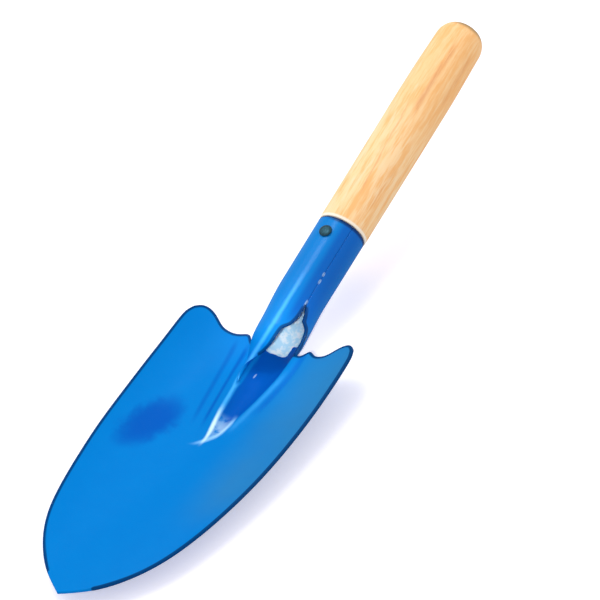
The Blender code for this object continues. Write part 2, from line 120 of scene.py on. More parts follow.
# Upper arc as a share of the half width: at the groove's end, its loss further up, and over what length
ARC_SHARE = 0.35
ARC_SHARE_LOSS = 0.21
ARC_SHARE_RUN = 30.0 * MM
# Least height of the two arcs together
ARC_HEIGHT = 0.25 * MM
# Start and end along y of three changes: the groove opens out of the face, its left wall steepens beside the
# wing, and its section turns into the socket's round
GROOVE_OPENS = (GROOVE_END - 1.0 * MM, GROOVE_END + 5.0 * MM)
WALL_STEEPENS = (WING_END - 4.0 * MM, WING_END + 1.0 * MM)
NECK_ROUNDS = (-10.0 * MM, -1.0 * MM)
# Pulls of the steep wall's curve: at the floor as a share of its width, at the ridge as one of its height
FLOOR_PULL = 0.6
CREST_PULL = 0.35
# Width of the slit beside the left wing, and the length over which it opens
SLIT = 1.0 * MM
SLIT_TAPER = 6.0 * MM
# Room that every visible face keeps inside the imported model
TRIM = 0.08 * MM
# Drop of the socket's axis at the neck and where it starts
NECK_DROP = 2.0 * MM
NECK_DROP_START = 22.0 * MM
SOCKET_RIM_RADIUS = 11.8 * MM
SOCKET_NECK_RADIUS = 11.4 * MM
# Length of the last row of faces before the socket's rim
RIM_ROW = 0.7 * MM
# Points of two patches that are nearer than this are one, and rows may miss their place by this much
WELD = 0.002 * MM
ROW_SLACK = 1e-9
# Corners of the sheet's edge that turn by more than this are rounded
BEVEL_ANGLE = math.radians(60.0)
# Edges of the handle and the nail that turn by more than this look crisp
SHARP_ANGLE = math.radians(35.0)
# Seam edges of the two wings, degrees from the bottom against y in mm
LEFT_SEAM = (
    (-28.0, 75.0), (-25.0, 104.0), (-22.0, 136.0), (-18.0, 180.0), (-15.0, 207.0), (-12.0, 217.0),
    (-9.3, 214.6), (-5.5, 211.4), (-2.0, 212.0), (2.3, 226.0), (7.0, 233.0), (11.0, 235.2), (16.0, 235.4),
    (57.5, 235.4),
)
RIGHT_SEAM = ((5.0, 111.0), (7.5, 112.0), (11.0, 118.0), (16.0, 124.5), (57.5, 124.5))
# Size of the left wing's funnel against y in mm, as a share of the socket's
FUNNEL = (
    (-28.0, 0.2), (-22.0, 0.18), (-18.0, 0.19), (-15.0, 0.3), (-11.6, 0.57), (-9.3, 0.77), (-5.5, 0.94),
    (-1.0, 1.0),
)
# Lower edge of the right wing, y in mm against degrees from the bottom
RIGHT_LIP = ((75.0, -3.0), (80.0, 0.8), (86.0, 3.8), (93.0, 5.2), (101.0, 5.8), (112.0, 6.8))

# Numbers that the blade's vertices carry for its paint: depth in the groove, the pale painted reflection in
# the mouth, and in mm the distances from the two ridges, positive to the right, and from the outlined cut
# edges
PAINT_MAPS = ("hollow", "mouth_reflection", "from_left_ridge", "from_right_ridge", "from_edge")
# Cut edges get a dark outline of painted shade up to this y. Below the next y only those this far from the
# middle do
OUTLINE_TOP = 13.0 * MM
OUTLINE_LOW = -13.5 * MM
OUTLINE_SIDE = 13.0 * MM
# Painted shade streaks beside the left ridge: distance from it and half width in mm, strength
SHADE_STREAKS = ((-4.9, 1.7, 0.8), (-10.4, 1.9, 0.56))
# Painted highlight line up the socket: x and z parts of the direction that it is measured in, and its
# distance in mm
HIGHLIGHT_LINE = (-0.776, 0.631, 4.6)
# Small painted glints beside the seam and in the groove, (x, y, z) in the tool's frame and half length, in mm
FLECKS = ((9.4, 30.3, 6.8, 1.6), (9.5, 26.2, 6.7, 1.8), (9.2, 13.9, 6.3, 2.4), (-3.7, -21.1, -6.2, 1.8))
# Their half width and half depth in mm
FLECK_WIDTH = 0.55
FLECK_DEPTH = 1.2
# Mean drop of the socket's axis in mm, near enough for its paint
AXIS_DROP = 1.0
# Enamel at the socket's rim, the painted highlight on the light lines, paler painted glints, and a lighter,
# greener painted reflection towards the right edge
RIM_PAINT = (0.001, 0.018, 0.10)
HIGHLIGHT_PAINT = (0.07, 0.46, 0.97)
GLINT_PAINT = (0.62, 0.86, 0.98)
REFLECTION_TINT = (0.036, 0.225, 0.430)
# Two tones of the pale painted reflection inside the mouth
MOUTH_REFLECTION = ((0.50, 0.80, 0.95), (0.86, 0.97, 1.0))
# Darker streaks of the wood: angle in degrees to the right of the top at their start and end, y in mm at
# their start and end, half width in degrees, strength
STREAKS = (
    (36.0, 34.0, 118.0, 168.0, 9.0, 0.75), (80.0, 82.0, 130.0, 168.0, 9.0, 0.45),
    (29.0, 13.0, 70.0, 130.0, 3.0, 0.5), (62.0, 66.0, 66.0, 96.0, 12.0, 0.5),
)
# Length in mm over which a streak fades at each end
STREAK_TAPER = 8.0
# Wood in those streaks, at the butt's end grain, and a painted highlight on the edge beside the socket's rim
WOOD_STREAK = (0.74, 0.33, 0.13)
END_GRAIN = (0.26, 0.17, 0.06)
WOOD_RIM_HIGHLIGHT = (0.98, 0.93, 0.80)
# Point that the softboxes face, and their distance from it in metres
STAGE_MIDDLE = Vector((0.0, -0.03, 0.02))
LAMP_DISTANCE = 1.2
# Softboxes: name, direction from the tool in the tool's frame, width in metres, power in watts
LAMPS = (
    ("key", (-0.34, 0.36, 0.87), 1.0, 3.7),
    ("spark", (-0.13, 0.39, 0.915), 0.34, 1.9),
)
# Spot that lights the inside of the mouth: the point that it faces and its place, in the tool's frame
MOUTH = (-0.002, 0.002, -0.010)
MOUTH_LAMP = (0.45, -0.36, 0.62)
MOUTH_CONE = math.radians(2.8)
# Faintly violet light of the sky
SKY_COLOR = (0.97, 0.95, 1.0, 1.0)
# Half width of the floor in metres, and its gap below the tool
FLOOR_REACH = 3.0
FLOOR_GAP = 0.2 * MM


def linear(red, green, blue):
    """Scene linear colour of a colour given as 0 to 255 on screen."""
    c = np.array([red, green, blue]) / 255.0
    return tuple(np.where(c <= 0.04045, c / 12.92, ((c + 0.055) / 1.055) ** 2.4))


class TrowelBlade(bpy.types.PropertyGroup):
    sheet: FloatProperty(name="Sheet", description="Thickness of the steel", default=1.5 * MM, unit="LENGTH")
    ridge: FloatProperty(name="Ridge", description="Height of the ridges beside the groove", default=1.3 * MM,
                         unit="LENGTH")
    ridge_width: FloatProperty(name="Ridge width", description="Width of a ridge's outer flank",
                               default=6.0 * MM, unit="LENGTH")
    # Dark outline of painted shade along the cut edges
    paint_edge: FloatVectorProperty(name="Edge", description="Colour along the cut edges", subtype="COLOR",
                                    default=linear(4, 54, 108), min=0.0, max=1.0)
    edge_round: FloatProperty(name="Edge rounding", description="Rounding of the cut edges under the paint",
                              default=0.3 * MM, unit="LENGTH")
    paint: FloatVectorProperty(name="Paint", description="Colour of the enamel", subtype="COLOR",
                               default=linear(4, 128, 208), min=0.0, max=1.0)
    # Darker enamel, also used as painted shade in the groove, beside the ridges and on the socket's right
    # side, and for a painted dark reflection
    deep_paint_and_shade: FloatVectorProperty(name="Pooled paint", description="Colour where the enamel lies thick",
                                    subtype="COLOR", default=linear(4, 88, 184), min=0.0, max=1.0)


class TrowelHandle(bpy.types.PropertyGroup):
    grip_radius: FloatProperty(name="Grip radius", description="Radius at the widest", default=12.5 * MM,
                               unit="LENGTH")
    butt_radius: FloatProperty(name="Butt radius", description="Radius before the rounded end",
                               default=11.95 * MM, unit="LENGTH")
    wood: FloatVectorProperty(name="Wood", description="Colour of the wood", subtype="COLOR",
                              default=linear(248, 229, 196), min=0.0, max=1.0)
    wood_mid: FloatVectorProperty(name="Wood bands", description="Colour of the soft darker bands",
                                  subtype="COLOR", default=linear(253, 213, 157), min=0.0, max=1.0)
    wood_dark: FloatVectorProperty(name="Grain", description="Colour of the darker grain", subtype="COLOR",
                                   default=linear(246, 182, 110), min=0.0, max=1.0)


class TrowelNail(bpy.types.PropertyGroup):
    head_radius: FloatProperty(name="Head radius", description="Radius of the nail's head", default=3.0 * MM,
                               unit="LENGTH")
    head_height: FloatProperty(name="Head height", description="Height of the domed head", default=1.2 * MM,
                               unit="LENGTH")
    steel: FloatVectorProperty(name="Steel", description="Colour of the steel", subtype="COLOR",
                               default=linear(48, 80, 92), min=0.0, max=1.0)


class TrowelStage(bpy.types.PropertyGroup):
    camera_place: FloatVectorProperty(name="Camera", description="Place of the camera in the tool's frame",
                                      subtype="TRANSLATION", default=(0.5676, -0.3577, 0.7097))
    camera_turn: FloatVectorProperty(name="Camera turn", description="Rotation of the camera in that frame",
                                     subtype="EULER", default=(0.67943, 0.38248, 0.55267))
    lens: FloatProperty(name="Lens", description="Focal length in millimetres", default=131.87)
    floor: FloatVectorProperty(name="Floor", description="Colour of the floor", subtype="COLOR",
                               default=(0.74, 0.735, 0.75), min=0.0, max=1.0)
    floor_glow: FloatVectorProperty(name="Floor glow", description="White that the camera sees on the floor",
                                    subtype="COLOR", default=(0.44, 0.43, 0.49), min=0.0, max=1.0)
    mouth_power: FloatProperty(name="Mouth lamp", description="Power of the spot on the socket's mouth",
                               default=26.0)
    sky: FloatProperty(name="Sky", description="Strength of the light from all round", default=0.78)


def ease(t):
    """Rise from 0 to 1 with no slope at either end."""
    t = np.clip(t, 0.0, 1.0)
    return t * t * (3.0 - 2.0 * t)


def ramp(value, start, end):
    """Smooth change from 0 at start to 1 at end, which may be the lower of the two."""
    return ease((value - start) / (end - start))


def spline(points, at):
    """Natural cubic curve through the points (a, b), read at the values in at."""
    a, b = np.array(points, dtype=float).T
    n = len(a)
    h = np.diff(a)
    system = np.eye(n)
    right = np.zeros(n)
    i = np.arange(1, n - 1)
    system[i, i - 1] = h[:-1]
    system[i, i] = 2.0 * (h[:-1] + h[1:])
    system[i, i + 1] = h[1:]
    right[1:-1] = 6.0 * np.diff(np.diff(b) / h)
    m = np.linalg.solve(system, right)
    at = np.clip(at, a[0], a[-1])
    k = np.clip(np.searchsorted(a, at, side="right") - 1, 0, n - 2)
    p = (a[k + 1] - at) / h[k]
    q = 1.0 - p
    return p * b[k] + q * b[k + 1] + ((p**3 - p) * m[k] + (q**3 - q) * m[k + 1]) * h[k] ** 2 / 6.0


def bend(points, at):
    """Curve through the points (a, b) that never overshoots, read at the values in at."""
    a, b = np.array(points, dtype=float).T
    h = np.diff(a)
    rise = np.diff(b) / h
    slope = np.concatenate([rise[:1], np.zeros(len(a) - 2), rise[-1:]])
    w1 = 2.0 * h[1:] + h[:-1]
    w2 = h[1:] + 2.0 * h[:-1]
    same = rise[:-1] * rise[1:] > 0.0
    low = np.where(same, rise[:-1], 1.0)
    high = np.where(same, rise[1:], 1.0)
    slope[1:-1] = np.where(same, (w1 + w2) / (w1 / low + w2 / high), 0.0)
    at = np.clip(at, a[0], a[-1])
    k = np.clip(np.searchsorted(a, at, side="right") - 1, 0, len(a) - 2)
    t = (at - a[k]) / h[k]
    return (b[k] * (1.0 + 2.0 * t) * (1.0 - t) ** 2 + slope[k] * h[k] * t * (1.0 - t) ** 2
            + b[k + 1] * t * t * (3.0 - 2.0 * t) + slope[k + 1] * h[k] * t * t * (t - 1.0))


def face_height(x, y, sheet):
    """Dished face: a rise along y that grows with y squared, a parabola across x, and a soft valley."""
    valley = VALLEY_DEPTH * ease(1.0 - y / VALLEY_END)
    return (FACE_LEVEL - sheet / 2.0 - FACE_SLOPE * y + FACE_SCOOP * y * y + DISH_CURVE * x * x / 2.0
            - valley * np.exp(-(x / VALLEY_WIDTH) ** 2))


def floor_height(y, sheet):
    """Groove's floor: the lower of a straight rising line and the face, with the corner between softened."""
    line = FLOOR_START + FLOOR_RISE * (NOTCH - y)
    face = face_height(0.0, y, sheet)
    low = np.minimum(line, face)
    both = np.exp((low - line) / FLOOR_BLEND) + np.exp((low - face) / FLOOR_BLEND)
    return low - FLOOR_BLEND * np.log(both)


def socket_axis(y):
    """Height of the socket's axis, a half cosine wave down to the neck."""
    t = np.clip((NECK_DROP_START - y) / (NECK_DROP_START - JOINT), 0.0, 1.0)
    return -NECK_DROP * (1.0 - np.cos(math.pi * t)) / 2.0


def socket_radius(y, sheet):
    """Radius to the middle of the socket's sheet, which widens evenly to the rim."""
    t = np.clip(y / SOCKET_LENGTH, 0.0, 1.0)
    return SOCKET_NECK_RADIUS + (SOCKET_RIM_RADIUS - SOCKET_NECK_RADIUS) * t - sheet / 2.0


def round_point(angle, y, sheet):
    """Point of the socket's sheet at an angle in degrees from the bottom, positive to the right."""
    a = np.radians(angle)
    r = socket_radius(y, sheet)
    return r * np.sin(a), socket_axis(y) - r * np.cos(a)


def ridge_points(y, blade):
    """Crest of the left and the right ridge, as (x, z) each."""
    lift = blade.ridge * ease((y - GROOVE_END) / RIDGE_RISE)
    sides = []
    for line in (LEFT_RIDGE, RIGHT_RIDGE):
        x = bend(line, y / MM) * MM
        sides.append((x, face_height(x, y, blade.sheet) + lift))
    return sides


def tip_sag(x, y):
    """Depth by which a row y hangs below its ends, so that the lowest row follows the pointed tip."""
    edge_y = np.linspace(-BLADE_LENGTH, TIP_ROW, 80)
    edge_x = spline(SIDE_EDGE, edge_y / MM) * MM
    width = spline(SIDE_EDGE, y / MM) * MM
    along = np.abs(x) / width * edge_x[-1]
    fade = np.maximum(0.0, 1.0 - (y - TIP_ROW) / TIP_FADE) ** 2
    return (TIP_ROW - np.interp(along, edge_x, edge_y)) * fade


def web_grid(y, tau, blade):
    """Groove from ridge to ridge, rows y and columns tau from -1 to 1. Each side is two arcs that touch:
    one rises from the floor, one turns back to the level of the ridge. Beside the left wing it is a cubic
    curve that ends steeply instead, and near the neck it becomes the socket's round section."""
    y = y[:, None]
    (left_x, left_z), (right_x, right_z) = ridge_points(y, blade)
    middle = (left_x + right_x) / 2.0
    floor = floor_height(y, blade.sheet)
    half = np.where(tau < 0.0, middle - left_x, right_x - middle)
    high = np.maximum(ARC_HEIGHT, np.where(tau < 0.0, left_z, right_z) - floor)
    share = ARC_SHARE - ARC_SHARE_LOSS * ease((y - GROOVE_END) / ARC_SHARE_RUN)
    turn = 2.0 * np.arctan2(high, half)
    large = (1.0 - share) * half / np.sin(turn)
    small = share * half / np.sin(turn)
    t = np.abs(tau)
    first = turn * np.minimum(t / ARC_SPLIT, 1.0)
    second = turn * np.clip((1.0 - t) / (1.0 - ARC_SPLIT), 0.0, 1.0)
    x = large * np.sin(first) + small * (np.sin(turn) - np.sin(second))
    z = large * (1.0 - np.cos(first)) + small * (np.cos(second) - np.cos(turn))
    steep = math.radians(WEB_ANGLE)
    hold_x = half - CREST_PULL * high * math.cos(steep)
    hold_z = high - CREST_PULL * high * math.sin(steep)
    wall_x = 3.0 * FLOOR_PULL * half * t * (1.0 - t) ** 2 + 3.0 * hold_x * t**2 * (1.0 - t)
    wall_z = 3.0 * hold_z * t**2 * (1.0 - t)
    wall = ramp(y, *WALL_STEEPENS) * (tau < 0.0)
    x = x + (wall_x + half * t**3 - x) * wall
    z = z + (wall_z + high * t**3 - z) * wall
    x = middle + np.sign(tau) * x
    z = floor + z
    flat = 1.0 - ramp(y, *GROOVE_OPENS)
    x = x + (middle + tau * half - x) * flat
    z = z + (face_height(x, y, blade.sheet) - z) * flat
    round_x, round_z = round_point(WEB_ANGLE * tau, y, blade.sheet)
    near = ramp(y, *NECK_ROUNDS)
    x = x + (round_x - x) * near
    z = z + (round_z - z) * near
    sagged = y - tip_sag(x, y)
    z = np.where(y < GROOVE_OPENS[0], face_height(x, sagged, blade.sheet), z)
    return np.stack([x, sagged, z], axis=-1)


def left_wing_grid(y, f, base, blade):
    """Left wall of the socket, rolled over the top to the seam. Its section is the socket's arc from the
    web's edge to the seam's edge. Below the neck the arc shrinks about the web's edge to a funnel."""
    y = y[:, None]
    reach = WEB_ANGLE + (bend(LEFT_SEAM, y / MM) - WEB_ANGLE) * f
    x0, z0 = round_point(-WEB_ANGLE, y, blade.sheet)
    x1, z1 = round_point(-reach, y, blade.sheet)
    size = bend(FUNNEL, y / MM)
    x = base[:, None, 0] + (x1 - x0) * size
    z = base[:, None, 2] + (z1 - z0) * size
    return np.stack([x, y + 0.0 * x, z], axis=-1)


def right_wing_grid(row, f, blade):
    """Right wall of the socket from the web's edge to the seam, cut off by its lower lip."""
    lip_end = RIGHT_LIP[-1][0]
    low = bend(RIGHT_LIP, WEB_ANGLE + (lip_end - WEB_ANGLE) * f) * MM
    y = low + (SOCKET_LENGTH - low) * row[:, None]
    angle = WEB_ANGLE + (bend(RIGHT_SEAM, y / MM) - WEB_ANGLE) * f
    x, z = round_point(angle, y, blade.sheet)
    return np.stack([x, y, z], axis=-1)


def face_grid(side, y, crest, reach, blade):
    """One side of the blade, rows y and columns reach from the ridge (0) to the cut edge (1). The rows
    follow the shoulder's outline at the top and straighten out further down."""
    edge = np.array(SHOULDER_EDGE) * MM
    top = spline(edge, edge[0, 0] + (edge[-1, 0] - edge[0, 0]) * reach)
    bump = top - (edge[0, 1] + (edge[-1, 1] - edge[0, 1]) * reach)
    fade = np.maximum(0.0, 1.0 - (NOTCH - y) / SHOULDER_FADE)[:, None] ** 2
    start = y[:, None]
    side_y = start + (edge[-1, 1] - edge[0, 1]) * fade
    side_x = side * spline(SIDE_EDGE, side_y / MM) * MM
    x0 = crest[:, None, 0]
    x = x0 + (side_x - x0) * reach
    py = start + (side_y - start) * reach + bump * fade
    away = np.abs(x - x0) / blade.ridge_width
    lift = blade.ridge * ease((start - GROOVE_END) / RIDGE_RISE)
    if side < 0.0:
        lift = lift * (1.0 - ease((start - WING_END) / RIDGE_SINK))
    py = py - tip_sag(x, start)
    z = face_height(x, py, blade.sheet) + lift * (1.0 - ease(away))
    z[:, 0] = crest[:, 2]
    return np.stack([x, py, z], axis=-1)


def spread(*runs):
    """Values from several runs (start, end, count), each ending where the next one starts."""
    parts = [np.linspace(a, b, n, endpoint=False) for a, b, n in runs]
    return np.concatenate([*parts, [runs[-1][1]]])


def blade_grids(blade):
    """Every patch of the pressed sheet's middle surface: the groove with the socket's bottom, the two wings
    and the two sides of the blade. Above the left wing's lower end a slit parts it from the left side."""
    rim_y = SOCKET_LENGTH - RIM_ROW
    mouth_y = 12.0 * MM
    socket_y = spread((JOINT, mouth_y, 22), (mouth_y, rim_y, 30), (rim_y, SOCKET_LENGTH, 1))
    neck_y = spread((WING_END, NOTCH, 36), (NOTCH, JOINT, 6))
    groove_y = spread((TIP_ROW, GROOVE_END, 70), (GROOVE_END, WING_END, 44))
    whole_y = np.concatenate([groove_y[:-1], neck_y[:-1], socket_y])
    tau = spread((-1.0, -ARC_SPLIT, 7), (-ARC_SPLIT, ARC_SPLIT, 20), (ARC_SPLIT, 1.0, 7))
    web = web_grid(whole_y, tau, blade)
    wing_rows = whole_y >= WING_END - ROW_SLACK
    left = left_wing_grid(whole_y[wing_rows], np.linspace(0.0, 1.0, 45), web[wing_rows, 0], blade)
    row = (socket_y - JOINT) / (SOCKET_LENGTH - JOINT)
    right = right_wing_grid(row, np.linspace(0.0, 1.0, 13), blade)
    face_rows = whole_y <= NOTCH + ROW_SLACK
    y = whole_y[face_rows]
    flank = 0.22
    reach = spread((0.0, flank, 20), (flank, 1.0, 40))
    left_crest = web[face_rows, 0].copy()
    open_slit = y > WING_END + ROW_SLACK
    opened = y[open_slit] - WING_END
    left_crest[open_slit, 0] -= SLIT * np.minimum(1.0, opened / SLIT_TAPER)
    low_ridge = blade.ridge * (1.0 - ease(opened / RIDGE_SINK))
    left_crest[open_slit, 2] = face_height(left_crest[open_slit, 0], y[open_slit], blade.sheet) + low_ridge
    left_face = face_grid(-1.0, y, left_crest, reach, blade)
    right_face = face_grid(1.0, y, web[face_rows, -1], reach, blade)
    return [web, left, right, left_face, right_face]


def tool_mesh(name, grids):
    """Mesh in the row's frame from patches of points in the tool's frame, welded where they meet."""
    points = np.concatenate([g.reshape(-1, 3) for g in grids])
    faces = []
    start = 0
    for g in grids:
        rows, columns = g.shape[:2]
        index = start + np.arange(rows * columns).reshape(rows, columns)
        quads = np.stack([index[:-1, :-1], index[1:, :-1], index[1:, 1:], index[:-1, 1:]], axis=-1)
        faces.append(quads.reshape(-1, 4))
        start += rows * columns
    turn = np.array(TOOL.to_3x3())
    points = points @ turn.T + np.array(TOOL_ORIGIN)
    mesh = bpy.data.meshes.new(name)
    mesh.from_pydata(points, [], np.concatenate(faces).tolist())
    bm = bmesh.new()
    bm.from_mesh(mesh)
    bmesh.ops.remove_doubles(bm, verts=bm.verts, dist=WELD)
    bmesh.ops.recalc_face_normals(bm, faces=bm.faces)
    bm.to_mesh(mesh)
    bm.free()
    mesh.update()
    return mesh


def cut_edges(mesh):
    """Edge of every face corner, and for every edge whether it is a cut edge, which has one face only."""
    corners = np.empty(len(mesh.loops), dtype=np.int32)
    mesh.loops.foreach_get("edge_index", corners)
    return corners, np.bincount(corners, minlength=len(mesh.edges)) == 1


def edge_faces(mesh):
    """1 for the faces that lie along a cut edge and 0 for the others."""
    corners, cut = cut_edges(mesh)
    sizes = np.empty(len(mesh.polygons), dtype=np.int32)
    mesh.polygons.foreach_get("loop_total", sizes)
    owner = np.repeat(np.arange(len(sizes)), sizes)
    return np.minimum(1.0, np.bincount(owner, weights=cut[corners], minlength=len(sizes)))


def outlined(x, y):
    """Whether a cut edge at x and y gets the dark outline of painted shade: the socket's seam and the left
    wing's lower edge don't."""
    return (y < OUTLINE_TOP) & ((y > OUTLINE_LOW) | (np.abs(x) > OUTLINE_SIDE))


def border_distance(mesh, points):
    """Distance of each vertex from the nearest vertex on an outlined cut edge. The square of a distance is
    the sum of both points' squares less twice their product."""
    cut = cut_edges(mesh)[1]
    ends = np.empty(len(mesh.edges) * 2, dtype=np.int32)
    mesh.edges.foreach_get("vertices", ends)
    border = points[np.unique(ends.reshape(-1, 2)[cut])]
    border = border[outlined(border[:, 0], border[:, 1])]
    squares = (points**2).sum(axis=1)[:, None] + (border**2).sum(axis=1) - 2.0 * points @ border.T
    return np.sqrt(np.maximum(squares.min(axis=1), 0.0))


def tool_points(mesh, collection):
    """Places of the vertices, or centres of the faces, in the tool's frame, as x, y and z."""
    key = "co" if collection == mesh.vertices else "center"
    points = np.empty(len(collection) * 3)
    collection.foreach_get(key, points)
    turn = np.array(TOOL.to_3x3())
    return ((points.reshape(-1, 3) - np.array(TOOL_ORIGIN)) @ turn).T


def new_piece(name, mesh, material, node):
    """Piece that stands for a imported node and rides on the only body."""
    mesh.shade_smooth()
    mesh.materials.append(material)
    piece = add_object(name, mesh)
    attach(piece, "root")
    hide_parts(node)
    return piece


class Wire:
    """Socket of a node tree on which arithmetic adds Math nodes."""

    def __init__(self, graph, socket):
        self.graph = graph
        self.socket = socket

    def __add__(self, other):
        return self.graph.math("ADD", self, other)

    def __radd__(self, other):
        return self.graph.math("ADD", other, self)

    def __sub__(self, other):
        return self.graph.math("SUBTRACT", self, other)

    def __rsub__(self, other):
        return self.graph.math("SUBTRACT", other, self)

    def __mul__(self, other):
        return self.graph.math("MULTIPLY", self, other)

    def __rmul__(self, other):
        return self.graph.math("MULTIPLY", other, self)

    def __truediv__(self, other):
        return self.graph.math("DIVIDE", self, other)


class Graph:
    """Node tree of a new material with a Principled shader."""

    def __init__(self, name):
        self.material = bpy.data.materials.new(name)
        self.material.use_nodes = True
        self.tree = self.material.node_tree
        self.shader = self.tree.nodes["Principled BSDF"]

    def put(self, socket, value):
        """Link a wire to a socket, or set the socket's own value."""
        if isinstance(value, Wire):
            self.tree.links.new(value.socket, socket)
        elif socket.type == "RGBA" and len(value) == 3:
            socket.default_value = (*value, 1.0)
        else:
            socket.default_value = value

    def node(self, kind, settings=None, values=(), output=0):
        """New node: settings first, then socket values by place or by name. Gives one of its outputs."""
        made = self.tree.nodes.new(kind)
        for key, value in (settings or {}).items():
            setattr(made, key, value)
        pairs = values.items() if isinstance(values, dict) else enumerate(values)
        for key, value in pairs:
            self.put(made.inputs[key], value)
        return Wire(self, made.outputs[output])

    def math(self, operation, *values):
        """Math node on numbers."""
        return self.node("ShaderNodeMath", {"operation": operation}, values)

    def step(self, value, low, high):
        """Smooth step from 0 at low to 1 at high."""
        return self.node("ShaderNodeMapRange", {"interpolation_type": "SMOOTHSTEP"},
                         {"Value": value, "From Min": low, "From Max": high})

    def span(self, value, start, full, last, end):
        """1 from full to last, falling smoothly to 0 at start and at end."""
        return self.step(value, start, full) * self.step(value, end, last)

    def band(self, value, middle, half):
        """1 in the middle of a band, falling smoothly to 0 at half its width."""
        return self.step(self.math("ABSOLUTE", value - middle), half, 0.0)

    def mix(self, factor, a, b):
        """Mix of a and b, with the places that the node's colour sockets have."""
        made = self.tree.nodes.new("ShaderNodeMix")
        made.data_type = "RGBA"
        self.put(made.inputs[0], factor)
        self.put(made.inputs[6], a)
        self.put(made.inputs[7], b)
        return Wire(self, made.outputs[2])

    def level(self, vector):
        """Vector turned from the row's frame into the tool's."""
        return self.node("ShaderNodeVectorRotate", {"rotation_type": "X_AXIS"},
                         {"Vector": vector, "Angle": -TOOL_TILT})

    def tool_place(self):
        """Point in the tool's frame, in metres, from Object coordinates."""
        return self.level(self.shifted(self.node("ShaderNodeTexCoord", output="Object"), TOOL_ORIGIN[:]))

    def tool_normal(self):
        """Direction of the surface in the tool's frame."""
        return self.level(self.node("ShaderNodeTexCoord", output="Normal"))

    def attribute(self, name):
        """Number that the mesh stores under a name."""
        return self.node("ShaderNodeAttribute", {"attribute_name": name}, output="Fac")

    def axes(self, vector):
        """The three parts of a vector."""
        made = self.tree.nodes.new("ShaderNodeSeparateXYZ")
        self.put(made.inputs[0], vector)
        return [Wire(self, s) for s in made.outputs]

    def noise(self, vector, scale, detail=2.0, roughness=0.5):
        """Fractal noise from 0 to 1."""
        return self.node("ShaderNodeTexNoise", None,
                         {"Vector": vector, "Scale": scale, "Detail": detail, "Roughness": roughness})

    def shifted(self, vector, by):
        """Vector with each part lowered."""
        return self.node("ShaderNodeVectorMath", {"operation": "SUBTRACT"}, (vector, by))

    def stretched(self, vector, factors):
        """Vector with each part multiplied."""
        return self.node("ShaderNodeVectorMath", {"operation": "MULTIPLY"}, (vector, factors))

    def finish(self, **values):
        """Set the shader's sockets, with underscores for spaces."""
        for key, value in values.items():
            self.put(self.shader.inputs[key.replace("_", " ")], value)
        return self.material


